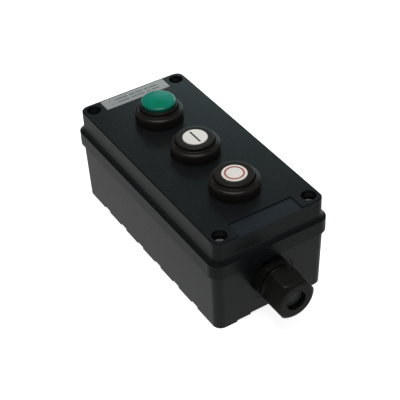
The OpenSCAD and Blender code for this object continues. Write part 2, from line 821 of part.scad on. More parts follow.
module stop_bezel() { at_lid(stop_y) bezel(); }
module stop_seal() { at_lid(stop_y) bezel_seal(); }
module stop_guide() { at_lid(stop_y) guide(stem_r + fit, [[guide_bore_r, flange_z]]); }
module stop_locknut() { at_lid(stop_y) locknut(); }
module stop_cap() { at_lid(stop_y) cap(); }
module stop_disc() { at_lid(stop_y) disc(); }
module stop_ring() {
    color("#b23a34") at_lid(stop_y) tube(ring_in_r + ring_w, ring_in_r, cap_h, cap_h + symbol_t);
}
module stop_stem() { at_lid(stop_y) stem(); }
module stop_membrane() { at_lid(stop_y) membrane(); }
module stop_return_spring() { at_lid(stop_y) return_spring(); }
module stop_block() { at_block(stop_y) contact_block(closed_strip_z); }
module stop_block_cover() { at_block(stop_y) block_cover(block_h); }
module stop_plunger() { at_block(stop_y) plunger(); }
module stop_bridges() { at_block(stop_y) bridges(closed_bridge_z, 1); }
module stop_contact_springs() { at_block(stop_y) contact_springs(window_bottom, closed_bridge_z); }
module stop_terminals() { at_block(stop_y) at_poles() terminal_pair(closed_strip_z, -1); }
module stop_terminal_screws() { at_block(stop_y) at_poles() terminal_screw_pair(closed_strip_z); }

// The gland's own frame: +Z points out of the wall
module at_gland() {
    translate([0, gland_y, gland_z]) rotate([90, 0, 0]) children();
}

module hexagon(z0, z1, bore) {
    translate([0, 0, z0]) difference() {
        cylinder(r = hex_r, h = z1 - z0, $fn = 6);
        translate([0, 0, -over]) cylinder(r = bore, h = z1 - z0 + 2 * over);
    }
}

module gland_body() {
    inner_end = -gland_wall - gland_nut_t - 3 * gap;
    color(operator_black) at_gland() union() {
        tube(gland_thread_r, gland_bore_r, inner_end, washer_t + slice_t);
        hexagon(washer_t, gland_flange_z, gland_bore_r);
        tube(neck_r, gland_bore_r, gland_flange_z - slice_t, neck_top - seat_depth);
        tube(neck_r, seat_r, neck_top - seat_depth - slice_t, neck_top);
    }
}

module gland_washer() {
    color(rubber_black) at_gland() tube(gland_af / 2, gland_thread_r + fit, 0, washer_t);
}

module gland_locknut() {
    color(operator_black) at_gland()
        hexagon(-gland_wall - gland_nut_t, -gland_wall, gland_thread_r + fit);
}

module gland_seal() {
    color(rubber_black) at_gland()
        tube(seat_r - fit, seal_bore_r, neck_top - seat_depth, mouth_z - plug_t);
}

module gland_cap_nut() {
    color(operator_black) at_gland() difference() {
        intersection() {
            cylinder(r = hex_r, h = gland_tip_z, $fn = 6);
            turned(concat(
                [[0, cap_back_z], [hex_r * nose_share[0][0], cap_back_z]],
                [for (s = nose_share) [hex_r * s[0], nose_z + gland_nose_l * s[1]]],
                [[0, gland_tip_z]]
            ));
        }
        cylinder(r = neck_r + fit, h = neck_top + gap);
        cylinder(r = seat_r + gap, h = mouth_z);
        cylinder(r = gland_mouth_r, h = gland_tip_z + over);
    }
}

module gland_plug() {
    color("#8d8f90") at_gland() translate([0, 0, mouth_z - plug_t]) cylinder(r = plug_r, h = plug_t);
}

base_box();
lid();
lid_gasket();
lid_screws();
threaded_inserts();
label_plate();
earth_bar();
earth_screws();
earth_bar_screws();
lamp_bezel();
lamp_seal();
lamp_guide();
lamp_locknut();
lamp_lens();
lamp_block();
lamp_block_cover();
lamp_board();
lamp_led();
lamp_terminals();
lamp_terminal_screws();
start_bezel();
start_seal();
start_guide();
start_locknut();
start_cap();
start_disc();
start_bar();
start_stem();
start_membrane();
start_return_spring();
start_block();
start_block_cover();
start_plunger();
start_bridges();
start_contact_springs();
start_terminals();
start_terminal_screws();
stop_bezel();
stop_seal();
stop_guide();
stop_locknut();
stop_cap();
stop_disc();
stop_ring();
stop_stem();
stop_membrane();
stop_return_spring();
stop_block();
stop_block_cover();
stop_plunger();
stop_bridges();
stop_contact_springs();
stop_terminals();
stop_terminal_screws();
gland_body();
gland_washer();
gland_locknut();
gland_seal();
gland_cap_nut();
gland_plug();
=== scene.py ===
"""Finishes a pushbutton control station: moulded box, two buttons, a pilot light and a cable gland."""

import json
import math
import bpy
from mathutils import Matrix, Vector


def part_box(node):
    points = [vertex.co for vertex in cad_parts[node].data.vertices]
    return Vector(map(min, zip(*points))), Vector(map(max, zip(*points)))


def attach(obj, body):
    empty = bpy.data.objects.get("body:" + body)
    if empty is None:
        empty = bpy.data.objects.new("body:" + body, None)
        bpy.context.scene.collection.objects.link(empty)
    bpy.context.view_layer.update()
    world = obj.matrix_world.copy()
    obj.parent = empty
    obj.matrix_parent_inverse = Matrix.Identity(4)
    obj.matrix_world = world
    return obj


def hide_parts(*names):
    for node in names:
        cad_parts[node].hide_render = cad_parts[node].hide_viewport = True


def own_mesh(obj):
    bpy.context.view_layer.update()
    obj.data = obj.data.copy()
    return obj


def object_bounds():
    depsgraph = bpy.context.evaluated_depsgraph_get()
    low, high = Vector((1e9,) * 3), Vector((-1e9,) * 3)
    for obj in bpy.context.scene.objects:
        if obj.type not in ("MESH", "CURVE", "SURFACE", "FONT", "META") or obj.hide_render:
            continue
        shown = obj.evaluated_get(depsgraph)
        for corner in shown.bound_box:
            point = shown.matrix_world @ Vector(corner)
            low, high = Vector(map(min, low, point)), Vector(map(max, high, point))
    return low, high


bl_info = {
    "name": "Pushbutton Control Station",
    "version": (1, 0, 0),
    "blender": (4, 5, 0),
    "location": "3D View > Sidebar > Control Station",
    "description": "Makes the finished pieces, finishes and studio of a pushbutton control station",
    "category": "Object",
}

import bmesh
import bpy
import numpy as np
from bpy.props import FloatProperty, FloatVectorProperty, IntProperty, PointerProperty
from bpy.types import Operator, Panel, PropertyGroup
from mathutils import Matrix, Vector

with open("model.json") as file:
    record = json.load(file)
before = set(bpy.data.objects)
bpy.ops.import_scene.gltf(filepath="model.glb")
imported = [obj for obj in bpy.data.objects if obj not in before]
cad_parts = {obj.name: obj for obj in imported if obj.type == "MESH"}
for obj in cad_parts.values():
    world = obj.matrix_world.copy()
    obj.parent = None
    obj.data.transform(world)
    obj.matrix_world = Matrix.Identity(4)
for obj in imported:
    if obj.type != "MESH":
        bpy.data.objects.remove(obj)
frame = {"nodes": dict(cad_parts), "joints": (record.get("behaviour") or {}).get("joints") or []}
CAD_BOX = [[float(v) for v in corner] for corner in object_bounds()]
MM = 0.001
TURN = 2 * math.pi
AXIS = 0.001    # radius in millimetres at which a section meets its axis, and its ring closes to a point
SEAM, CAD_SEAM, SLIVER = 1e-6, 2e-6, 1e-7    # distances in metres under which points are one point


def node_box(node):
    """Lowest and highest corner of a CAD node, in millimetres."""
    low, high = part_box(node)
    return np.array(low) / MM, np.array(high) / MM


def above_lid(node):
    """Height of a CAD node's top above the lid, in millimetres."""
    return float(node_box(node)[1][2]) - LID_TOP


def half_width(node):
    """Half the width of a CAD node across the box, in millimetres."""
    low, high = node_box(node)
    return float(high[0] - low[0]) / 2


LID_TOP = float(node_box("lid")[1][2])
DISC_THICKNESS = 0.9
OPERATOR_Y = {
    name: float(sum(c[1] for c in node_box(name + "_bezel")) / 2) for name in ("lamp", "start", "stop")
}


def operator_seat(name):
    """Where an operator's axis meets the lid's top, in millimetres."""
    return 0, OPERATOR_Y[name], LID_TOP


# Shader expressions

class Expr:
    """A value in a node tree. Arithmetic on it adds Math nodes to the tree."""

    def __init__(self, paint, socket):
        self.paint = paint
        self.socket = socket

    def _math(self, operation, *values):
        return self.paint.node("ShaderNodeMath", {"operation": operation}, dict(enumerate(values)))

    def __add__(self, other):
        return self._math("ADD", self, other)

    __radd__ = __add__

    def __sub__(self, other):
        return self._math("SUBTRACT", self, other)

    def __rsub__(self, other):
        return self._math("SUBTRACT", other, self)

    def __mul__(self, other):
        return self._math("MULTIPLY", self, other)

    __rmul__ = __mul__

    def __pow__(self, other):
        return self._math("POWER", self, other)

    def __abs__(self):
        return self._math("ABSOLUTE", self)


class Paint:
    """Builds the node tree of a material or of the world."""

    def __init__(self, owner):
        owner.use_nodes = True
        self.tree = owner.node_tree
        self.tree.nodes.clear()

    def node(self, kind, settings=None, sockets=None, output=0):
        """Adds a node: its settings come first, then the values or links of its sockets."""
        made = self.tree.nodes.new(kind)
        for key, value in (settings or {}).items():
            setattr(made, key, value)
        for key, value in (sockets or {}).items():
            if isinstance(value, Expr):
                self.tree.links.new(value.socket, made.inputs[key])
            elif value is not None:
                made.inputs[key].default_value = value
        return Expr(self, made.outputs[output]) if len(made.outputs) else made

    def rays(self):
        """Whether a ray sees the surroundings, straight or through the lens, and whether it
        reflects them."""
        outputs = self.node("ShaderNodeLightPath").socket.node.outputs
        through = Expr(self, outputs["Is Transmission Ray"])
        seen = Expr(self, outputs["Is Camera Ray"]) + through
        return seen, Expr(self, outputs["Is Glossy Ray"]) * (1 - through)

    def spread(self, value, low, high):
        """value from 0 to 1 spread over low to high."""
        return value * (high - low) + low

    def step(self, value, low, high):
        """A smooth step of value from 0 at low to 1 at high."""
        return self.node("ShaderNodeMapRange", {"interpolation_type": "SMOOTHSTEP"}, {
            "Value": value, "From Min": low, "From Max": high})

    def blend(self, factor, first, second):
        """A colour between first and second."""
        return self.node("ShaderNodeMix", {"data_type": "RGBA"}, {
            "Factor": factor, 6: first, 7: second}, output=2)


class Finish(Paint):
    """Builds one material on Object coordinates in millimetres."""

    def __init__(self, name):
        self.material = bpy.data.materials.new(name)
        super().__init__(self.material)
        coordinates = self.node("ShaderNodeTexCoord", output="Object")
        self.place = self.node("ShaderNodeVectorMath", {"operation": "SCALE"},
                               {"Vector": coordinates, "Scale": 1 / MM}, output="Vector")

    def stretched(self, factors):
        """The place with each coordinate times its factor."""
        return self.node("ShaderNodeVectorMath", {"operation": "MULTIPLY"},
                         {0: self.place, 1: factors}, output="Vector")

    def noise(self, size, detail=3.0, roughness=0.5, place=None):
        """Noise from 0 to 1 whose features are about size millimetres across."""
        return self.node("ShaderNodeTexNoise", None, {
            "Vector": place or self.place, "Scale": 1.0 / size, "Detail": detail, "Roughness": roughness})

    def axes(self):
        """The three coordinates, in millimetres."""
        split = self.node("ShaderNodeSeparateXYZ", None, {"Vector": self.place})
        return [Expr(self, split.socket.node.outputs[i]) for i in range(3)]

    def length(self, x, y):
        """Distance from x = 0, y = 0."""
        return (x * x + y * y) ** 0.5

    def bump(self, height, depth):
        """Normals of a relief that is depth millimetres deep."""
        return self.node("ShaderNodeBump", None, {
            "Height": height, "Strength": 1.0, "Distance": depth * MM})

    def surface(self, **sockets):
        """Ends the tree in one Principled shader and returns the material."""
        named = {key.replace("_", " ").title().replace("Ior", "IOR"): v for key, v in sockets.items()}
        shader = self.node("ShaderNodeBsdfPrincipled", None, named)
        self.node("ShaderNodeOutputMaterial", None, {"Surface": shader})
        return self.material


def shade(colour, factor):
    """A colour made lighter or darker."""
    return tuple(min(1.0, c * factor) for c in colour[:3]) + (1.0,)


def moulded(name, colour, rough=0.4, grain=0.35, depth=0.006, cloud=0.12, coat=0.0, speck=0.0,
            ior=1.5, recess=None):
    """Moulded plastic or rubber: fine grain in the tool, faint flow clouds, dust and rubbed spots.
    A recess is a height in millimetres where the surface is paler."""
    speck_paler, rub_paler, recess_colour = 0.05, 0.03, (0.013, 0.018, 0.023, 1.0)
    p = Finish(name)
    clouds = p.noise(22.0, 4.0, 0.55)
    fine = p.noise(grain, 2.0, 0.6)
    waves = p.noise(7.0, 2.0, 0.5)
    rubs = p.step(p.noise(3.2, 6.0, 0.75), 0.60, 0.74)
    base = p.blend(clouds, shade(colour, 1 - cloud), shade(colour, 1 + cloud))
    if speck:
        flecks = p.step(p.noise(grain * 2.6, 3.0, 0.7), 0.62, 0.75) * speck
        base = p.blend(flecks, base, shade(tuple(c + speck_paler for c in colour[:3]), 1.0))
    base = p.blend(rubs * 0.10, base, shade(tuple(c + rub_paler for c in colour[:3]), 1.0))
    if recess:
        height = p.axes()[2]
        base = p.blend(p.step(abs(height - recess), 0.25, 0.15), base, recess_colour)
    roughness = p.spread(clouds, rough - 0.05, rough + 0.05) + rubs * 0.07 + fine * 0.03
    normal = p.bump(fine + waves * 0.6, depth)
    return p.surface(base_color=base, roughness=roughness, normal=normal, coat_weight=coat,
                     coat_roughness=0.12, ior=ior)


def metal(name, colour, rough=0.28, stretch=(1.0, 1.0, 8.0), depth=0.003, tarnish=0.25):
    """Plated or turned metal: fine tool marks along one axis and a little tarnish."""
    p = Finish(name)
    marks = p.noise(0.5, 3.0, 0.6, p.stretched(stretch))
    clouds = p.step(p.noise(4.0, 5.0, 0.65), 0.45, 0.75)
    base = p.blend(clouds * tarnish, shade(colour, 1.0), shade(colour, 0.55))
    roughness = p.spread(marks, rough - 0.07, rough + 0.07) + clouds * 0.12
    return p.surface(base_color=base, roughness=roughness, metallic=1.0 - clouds * tarnish * 0.3,
                     normal=p.bump(marks, depth))


# Geometry, in millimetres until it becomes a mesh

def fillet(points, radii, steps=6):
    """A polyline whose corners are replaced by arcs: each corner's arc is the curve
    P + (A - P)(1 - t)^2 + (B - P)t^2 between the tangent points A and B."""
    points = np.array(points, float)
    radii = np.broadcast_to(radii, len(points))
    out = []
    for i, (p, r) in enumerate(zip(points, radii)):
        if r <= 0 or i in (0, len(points) - 1):
            out.append(p[None])
            continue
        before, after = points[i - 1] - p, points[i + 1] - p
        la, lb = np.linalg.norm(before), np.linalg.norm(after)
        cut = min(r, la * 0.49, lb * 0.49)
        a, b = p + before / la * cut, p + after / lb * cut
        t = np.linspace(0, 1, steps)[:, None]
        out.append(p + (a - p) * (1 - t) ** 2 + (b - p) * t ** 2)
    return np.concatenate(out)


def denser(points, longest):
    """The same polyline with extra points, so that no stretch is longer than longest."""
    points = np.array(points, float)
    out = [points[:1]]
    for a, b in zip(points[:-1], points[1:]):
        n = max(1, int(math.ceil(np.linalg.norm(b - a) / longest)))
        t = np.linspace(0, 1, n + 1)[1:, None]
        out.append(a + (b - a) * t)
    return np.concatenate(out)


def add_mesh(name, points, faces, sharp=32.0):
    """Makes an object of points in millimetres and faces, closes its seams and poles, and turns
    its faces outwards."""
    mesh = bpy.data.meshes.new(name)
    mesh.from_pydata((np.asarray(points, float) * MM).tolist(), [], np.asarray(faces).tolist())
    soften(mesh, sharp)
    piece = bpy.data.objects.new(name, mesh)
    bpy.context.scene.collection.objects.link(piece)
    return piece


def soften(mesh, sharp):
    """Merges doubles, turns faces outwards and shades smooth but for edges sharper than sharp degrees."""
    bm = bmesh.new()
    bm.from_mesh(mesh)
    bmesh.ops.remove_doubles(bm, verts=bm.verts, dist=SEAM)
    bmesh.ops.dissolve_degenerate(bm, edges=bm.edges, dist=SLIVER)
    bmesh.ops.recalc_face_normals(bm, faces=bm.faces)
    bm.to_mesh(mesh)
    bm.free()
    mesh.polygons.foreach_set("use_smooth", np.ones(len(mesh.polygons), bool))
    mesh.set_sharp_from_angle(angle=math.radians(sharp))
    mesh.update()


def grid_faces(rows, cols, closed=False):
    """Quads of a grid whose columns wrap round, and whose rows wrap too when closed."""
    index = np.arange(rows * cols).reshape(rows, cols)
    below = index if closed else index[:-1]
    above = np.roll(index, -1, axis=0) if closed else index[1:]
    corners = [below, np.roll(below, -1, axis=1), np.roll(above, -1, axis=1), above]
    return np.stack(corners, axis=-1).reshape(-1, 4)


def hexagon_radius(angle, across_flats, sharpness=46.0):
    """Distance from the centre to a hexagon's side: half the width across flats over the
    p-norm of the cosines to its three pairs of sides, which rounds its corners a little."""
    normals = np.radians([30.0, 90.0, 150.0])
    waves = np.abs(np.cos(angle[..., None] - normals)) ** sharpness
    return across_flats / 2 / waves.sum(-1) ** (1 / sharpness)


def turned(name, profile, segments=96, closed=True, hexagon=None, relief=None, sharp=32.0):
    """A profile of radius and height carried round the Z axis:
    x = r(u) cos v, y = r(u) sin v, z = h(u). A hexagon limits r(u) to its sides, and a relief
    adds to the height or radius at each point."""
    inner_share, power = 0.43, 60.0
    profile = np.asarray(profile, float)
    angle = np.linspace(0, TURN, segments, endpoint=False)
    r = np.repeat(profile[:, :1], segments, axis=1)
    z = np.repeat(profile[:, 1:2], segments, axis=1)
    v = np.repeat(angle[None], len(profile), axis=0)
    if hexagon:
        limit = hexagon_radius(v, hexagon)
        outer = r > hexagon * inner_share
        soft = (np.maximum(r, 1e-6) ** -power + limit ** -power) ** (-1 / power)
        r = np.where(outer, soft, r)
    if relief:
        r, z = relief(r, z, v)
    points = np.stack([r * np.cos(v), r * np.sin(v), z], axis=-1).reshape(-1, 3)
    return add_mesh(name, points, grid_faces(len(profile), segments, closed), sharp)


def rounded_path(width, length, radius, arc=8):
    """Points round a rounded rectangle: four quarter circles joined by straight sides."""
    t = np.radians(np.linspace(0, 90, arc))
    quarter = np.stack([np.cos(t), np.sin(t)], axis=-1) * radius
    corners = []
    for k, (sx, sy) in enumerate(((1, 1), (-1, 1), (-1, -1), (1, -1))):
        c, s = math.cos(k * math.pi / 2), math.sin(k * math.pi / 2)
        spin = quarter @ np.array([[c, s], [-s, c]])
        corners.append(spin + [sx * (width / 2 - radius), sy * (length / 2 - radius)])
    return np.concatenate(corners)


def lofted(name, rings, arc=8, sharp=32.0):
    """Rounded rectangles of width, length, corner radius and height, joined in order into one
    closed skin. Its first and last ring shrink to a point."""
    rows = []
    for width, length, radius, z in rings:
        flat = rounded_path(width, length, radius, arc)
        rows.append(np.column_stack([flat, np.full(len(flat), z)]))
    first = np.repeat(rows[0].mean(0)[None], len(rows[0]), axis=0)
    last = np.repeat(rows[-1].mean(0)[None], len(rows[-1]), axis=0)
    grid = np.stack([first] + rows + [last])
    return add_mesh(name, grid.reshape(-1, 3), grid_faces(grid.shape[0], grid.shape[1]), sharp)


def moved(piece, offset=(0, 0, 0), turn=None):
    """Applies a turn and then a shift in millimetres to a piece's mesh, and leaves its object alone."""
    if turn is not None:
        piece.data.transform(turn)
    piece.data.transform(Matrix.Translation(Vector(offset) * MM))
    piece.data.update()
    return piece


def joined(name, pieces):
    """One piece made of several, in one mesh."""
    bm = bmesh.new()
    for piece in pieces:
        bm.from_mesh(piece.data)
    mesh = bpy.data.meshes.new(name)
    bm.to_mesh(mesh)
    bm.free()
    for piece in pieces:
        old = piece.data
        bpy.data.objects.remove(piece)
        bpy.data.meshes.remove(old)
    made = bpy.data.objects.new(name, mesh)
    bpy.context.scene.collection.objects.link(made)
    return made


def eased(name, node, width):
    """A copy of a CAD node with its loose triangles merged and its edges rounded by width."""
    flat, edge = math.radians(0.6), math.radians(29.0)
    mesh = frame["nodes"][node].data.copy()
    mesh.name = name
    mesh.materials.clear()
    bm = bmesh.new()
    bm.from_mesh(mesh)
    bmesh.ops.remove_doubles(bm, verts=bm.verts, dist=CAD_SEAM)
    bmesh.ops.dissolve_limit(bm, angle_limit=flat, verts=bm.verts, edges=bm.edges)
    bm.to_mesh(mesh)
    bm.free()
    piece = bpy.data.objects.new(name, mesh)
    bpy.context.scene.collection.objects.link(piece)
    bevel = piece.modifiers.new("ease", "BEVEL")
    bevel.width = width * MM
    bevel.segments = 3
    bevel.limit_method = "ANGLE"
    bevel.angle_limit = edge
    bevel.use_clamp_overlap = True
    bpy.context.view_layer.update()
    made = bpy.data.meshes.new_from_object(piece.evaluated_get(bpy.context.evaluated_depsgraph_get()))
    piece.modifiers.clear()
    piece.data = made
    bpy.data.meshes.remove(mesh)
    made.name = name
    made.polygons.foreach_set("use_smooth", np.ones(len(made.polygons), bool))
    made.set_sharp_from_angle(angle=edge)
    weight = piece.modifiers.new("weight", "WEIGHTED_NORMAL")
    weight.keep_sharp = True
    weight.weight = 80
    return piece


def stand_for(piece, material, body, *nodes):
    """Gives a new piece its finish and its body, and lets it stand for CAD nodes."""
    piece.data.materials.clear()
    piece.data.materials.append(material)
    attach(piece, body)
    if nodes:
        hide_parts(*nodes)
    return piece


def shortening_spring(material, body, node, joint):
    """Lets a smooth-shaded copy of a spring stand for it. The share of its length left at its joint's full
    travel is worked out but not used, so the copy does not shorten.
    """
    source = frame["nodes"][node]
    spring = bpy.data.objects.new(node + "_coil", source.data.copy())
    bpy.context.scene.collection.objects.link(spring)
    spring.data.polygons.foreach_set("use_smooth", np.ones(len(spring.data.polygons), bool))
    stand_for(spring, material, body, node)
    low, high = (corner * MM for corner in node_box(node))
    travel = max(j["range_m"][1] for j in frame["joints"] if j["name"] == joint)
    float(1 - travel / (high[2] - low[2]))
    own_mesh(spring)
    return spring


def dress(material, *nodes):
    """Gives CAD nodes a finish on their objects' slots."""
    for node in nodes:
        target = frame["nodes"][node]
        if not target.material_slots:
            target.data.materials.append(None)
        for holder in target.material_slots:
            holder.link = "OBJECT"
            holder.material = material


# What a user may change

class EnclosureSettings(PropertyGroup):
    """The moulded box, its lid, screws and label."""

    colour: FloatVectorProperty(
        name="Box colour", description="Colour of the moulded box and lid", subtype="COLOR",
        size=3, default=(0.0080, 0.0092, 0.0098), min=0, max=1)
    gloss: FloatProperty(
        name="Roughness", description="Roughness of the moulded surface", subtype="FACTOR",
        default=0.25, min=0.05, max=1)
    grain: FloatProperty(
        name="Grain", description="Size of the grain in the mould, in millimetres", default=0.45,
        min=0.05, max=5)
    ease: FloatProperty(
        name="Edge round", description="Rounding of the box's edges, in millimetres", default=0.3,
        min=0.02, max=1)
    label: FloatVectorProperty(
        name="Label colour", description="Colour of the label plate", subtype="COLOR", size=3,
        default=(0.37, 0.37, 0.362), min=0, max=1)


class OperatorSettings(PropertyGroup):
    """The buttons and the pilot light."""

    black: FloatVectorProperty(
        name="Black", description="Colour of the bezels and caps", subtype="COLOR", size=3,
        default=(0.0178, 0.0160, 0.0130), min=0, max=1)
    disc: FloatVectorProperty(
        name="Disc", description="Colour of the discs on the caps", subtype="COLOR", size=3,
        default=(0.83, 0.79, 0.72), min=0, max=1)
    red: FloatVectorProperty(
        name="Stop ring", description="Colour of the stop button's ring", subtype="COLOR", size=3,
        default=(0.40, 0.045, 0.030), min=0, max=1)
    lens: FloatVectorProperty(
        name="Lens", description="Colour of the pilot light's lens", subtype="COLOR", size=3,
        default=(0.002, 0.34, 0.230), min=0, max=1)
    segments: IntProperty(
        name="Segments", description="Sides of the turned pieces", default=128, min=24, max=256)


class GlandSettings(PropertyGroup):
    """The cable gland."""

    colour: FloatVectorProperty(
        name="Gland colour", description="Colour of the gland's body and cap nut", subtype="COLOR",
        size=3, default=(0.0095, 0.0092, 0.0082), min=0, max=1)
    across_flats: FloatProperty(
        name="Across flats", description="Width of the hexagons, in millimetres", default=24.0,
        min=10, max=60)
    thread_pitch: FloatProperty(
        name="Thread pitch", description="Pitch of the gland's thread, in millimetres", default=1.5,
        min=0.5, max=4)


class StageSettings(PropertyGroup):
    """The camera, the lamps and the floor."""

    key: FloatProperty(
        name="Key", description="Strength of the lamp overhead", default=5.6, min=0, unit="POWER")
    side: FloatProperty(
        name="Side", description="Strength of the cool lamp behind", default=1.75, min=0, unit="POWER")
    sky: FloatProperty(name="Sky", description="Strength of the even light", default=0.27, min=0)
    dark: FloatProperty(
        name="Dark", description="Level of the surroundings in reflections", default=0.08, min=0)
    table: FloatProperty(name="Table", description="Level of the floor in reflections", default=0.50, min=0)
    focal: FloatProperty(
        name="Focal length", description="Focal length of the camera, in millimetres", unit="CAMERA",
        default=103.63, min=10)


# Makers of single pieces

def bezel_profile():
    """Section of a bezel: outer wall, rolled rim, raised inner lip and bore. The rim is a quarter
    circle: r = radius - roll (1 - cos a), z = rim - roll (1 - sin a)."""
    top, radius = above_lid("start_bezel"), half_width("start_bezel")
    lip, rim, roll = half_width("start_cap") + 0.4, top - 1.1, 1.6
    hole, bore, seat, floor = 11.25, 12.2, 0.8, 1.6
    flat_end, lip_width, lip_depth, shelf = 1.76, 0.5, 3.3, 3.7
    a = np.linspace(0, math.pi / 2, 10)
    wall = fillet([(hole, seat), (radius, seat), (radius, rim - roll)], [0, 0.3, 0], 5)
    rolled = np.column_stack([radius - roll * (1 - np.cos(a)), rim - roll * (1 - np.sin(a))])
    rest = fillet([(radius - roll, rim), (radius - flat_end, rim), (lip + lip_width, top), (lip, top),
                   (lip, top - lip_depth), (bore, top - shelf), (bore, floor), (hole, floor),
                   (hole, seat)], [0, 0.3, 0.2, 0.2, 0.2, 0.1, 0.1, 0.1, 0], 6)
    return np.concatenate([wall[:-1], rolled[:-1], rest])


def cap_profile():
    """Section of a button's cap: pocket for the disc, rounded edge, skirt and boss. It is straight
    from one radius and height to the next, with its corners rounded by fillet."""
    top, radius, under = above_lid("start_cap"), half_width("start_cap"), 6.4
    floor = above_lid("start_disc") - DISC_THICKNESS
    pocket = half_width("start_disc") + 0.05
    skirt, skirt_in, skirt_low = 9.6, 8.1, -4.0
    boss, boss_in, boss_low = 4.2, 2.65, 1.0
    points = [(AXIS, floor), (pocket, floor), (pocket, top), (radius, top), (radius, under),
              (skirt, under), (skirt, skirt_low), (skirt_in, skirt_low), (skirt_in, under), (boss, under),
              (boss, boss_low), (boss_in, boss_low), (boss_in, under), (AXIS, under)]
    radii = [0, 0.1, 0.15, 0.55, 0.3, 0.3, 0.4, 0.4, 0.4, 0.4, 0.3, 0.2, 0.1, 0]
    return fillet(points, radii, 9)


def collar_profile():
    """Section of the pilot light's guide: tail, flange and the collar that carries the lens,
    straight from one radius and height to the next, with its corners rounded by fillet."""
    top, radius = above_lid("lamp_guide"), half_width("start_cap")
    tail, flange, seat, flange_top = 11.0, 11.9, 1.6, 2.5
    bore, hole, mouth = 9.9, 4.9, 7.7
    floor, under, low = -11.0, -13.0, -16.0
    points = [(tail, seat), (flange, seat), (flange, flange_top), (radius, flange_top), (radius, top),
              (bore, top), (bore, floor), (hole, floor), (hole, under), (mouth, under), (mouth, low),
              (tail, low), (tail, seat)]
    radii = [0, 0.1, 0.1, 0.2, 0.25, 0.2, 0.2, 0.1, 0.1, 0.1, 0.2, 0.4, 0]
    return fillet(points, radii, 6)


def lens_profile():
    """Section of the lens: an upright wall, a rolled edge, a shallow dome z = top - rise s^2 over
    r = s a, and a hollow spigot under it."""
    wall, spigot, depth, ease = 1.5, 9.6, 3, 0.15
    roll, turn, rise = 0.8, math.radians(77), 1.13
    low, top, radius = above_lid("lamp_guide"), above_lid("lamp_lens"), half_width("lamp_lens")
    a = np.linspace(0, turn, 9)
    edge = np.column_stack([radius - roll * (1 - np.cos(a)),
                            top - rise + roll * (np.sin(a) - math.sin(turn))])
    s = np.linspace(1, 0.001, 40)
    span, hollow = edge[-1][0], spigot - wall
    dome = np.column_stack([span * s, top - rise * s ** 2])
    inner = np.column_stack([hollow * s[::-1], top - wall - rise * (hollow * s[::-1] / span) ** 2])
    foot = [(hollow, low - depth), (spigot, low - depth), (spigot, low), (radius - ease, low),
            (radius, low + ease)]
    return np.concatenate([edge, dome[1:], inner, foot])


def threaded(pitch, low, high, depth, near):
    """A relief that cuts a thread of that pitch into radii near one value: the cut follows a
    cosine of height over pitch plus the angle, and fades at both ends."""
    sharpness, nearby = 1.5, 0.02

    def relief(r, z, v):
        wave = 0.5 - 0.5 * np.cos(TURN * (z / pitch) + v)
        fade = np.clip((z - low) / pitch, 0, 1) * np.clip((high - z) / pitch, 0, 1)
        on = np.abs(r - near) < nearby
        return np.where(on, r - depth * wave ** sharpness * fade, r), z
    return relief


def cross_recess(radius, dome, depth, arm, width):
    """A relief for a screw's head: its top rises by dome (1 - (r / radius)^2) and sinks by depth
    where it is nearer than half of width to one line of the cross and than arm to its middle."""
    side, end, shoulder = 0.22, 0.8, -1e-6

    def relief(r, z, v):
        x, y = np.abs(r * np.cos(v)), np.abs(r * np.sin(v))
        across, along = np.minimum(x, y), np.maximum(x, y)
        sink = np.clip((width / 2 - across) / side + 0.5, 0, 1) * np.clip((arm - along) / end, 0, 1)
        top = z > shoulder
        lift = dome * (1 - (r / radius) ** 2) * (r < radius)
        return r, np.where(top, z + lift - depth * sink, z)
    return relief


def place_on_gland(piece):
    """Lays a piece made along Z onto the gland's axis, outwards along -Y from the wall."""
    low, high = node_box("gland_washer")
    outwards = Matrix.Rotation(math.radians(90), 4, "X")
    return moved(piece, (0, high[1], (low[2] + high[2]) / 2), outwards)


# One operator for each piece or group of like pieces

class STATION_OT_enclosure(Operator):
    """Make the moulded box and its lid"""

    bl_idname = "station.enclosure"
    bl_label = "Box and lid"

    def execute(self, context):
        s = context.scene.station_enclosure
        for name, node, ior in (("box", "base_box", 1.35), ("lid", "lid", 1.27)):
            plastic = moulded(name + "_polyester", s.colour, rough=s.gloss, grain=s.grain, depth=0.008,
                              cloud=0.16, speck=0.35, ior=ior, recess=LID_TOP - 0.7)
            stand_for(eased(name + "_shell", node, s.ease), plastic, "station", node)
        return {"FINISHED"}


class STATION_OT_lid_screws(Operator):
    """Make the four lid screws with their cross recesses"""

    bl_idname = "station.lid_screws"
    bl_label = "Lid screws"

    def execute(self, context):
        low, high = node_box("lid_screws")
        radius, head, dome, rings = 3.5, 2.6, 0.35, 40
        shank, point, shank_low, end = 1.95, 1.1, -head - 15.2, -head - 16.0
        stop, stop_x, stop_y = 17, 31, 52    # degrees at which each screw came to a stop
        flat = radius - 0.35
        top = np.column_stack([np.linspace(AXIS, flat, rings), np.zeros(rings)])
        rest = fillet([(flat, 0), (radius, -0.2), (radius, -head), (shank, -head), (shank, shank_low),
                       (point, end), (AXIS, end)], [0, 0.3, 0.2, 0.1, 0.2, 0.1, 0], 5)
        profile = np.concatenate([top[:-1], rest])
        recess = cross_recess(radius, dome, depth=1.3, arm=2.3, width=0.95)
        screws = []
        for sx in (-1, 1):
            for sy in (-1, 1):
                one = turned("screw", profile, closed=False, relief=recess)
                x = sx * ((high[0] - low[0]) / 2 - radius)
                y = sy * ((high[1] - low[1]) / 2 - radius)
                turn = Matrix.Rotation(math.radians(stop + stop_x * sx + stop_y * sy), 4, "Z")
                screws.append(moved(one, (x, y, high[2] - dome), turn))
        steel = metal("plated_steel", (0.60, 0.605, 0.61), rough=0.42)
        stand_for(joined("lid_screw_set", screws), steel, "station", "lid_screws")
        return {"FINISHED"}


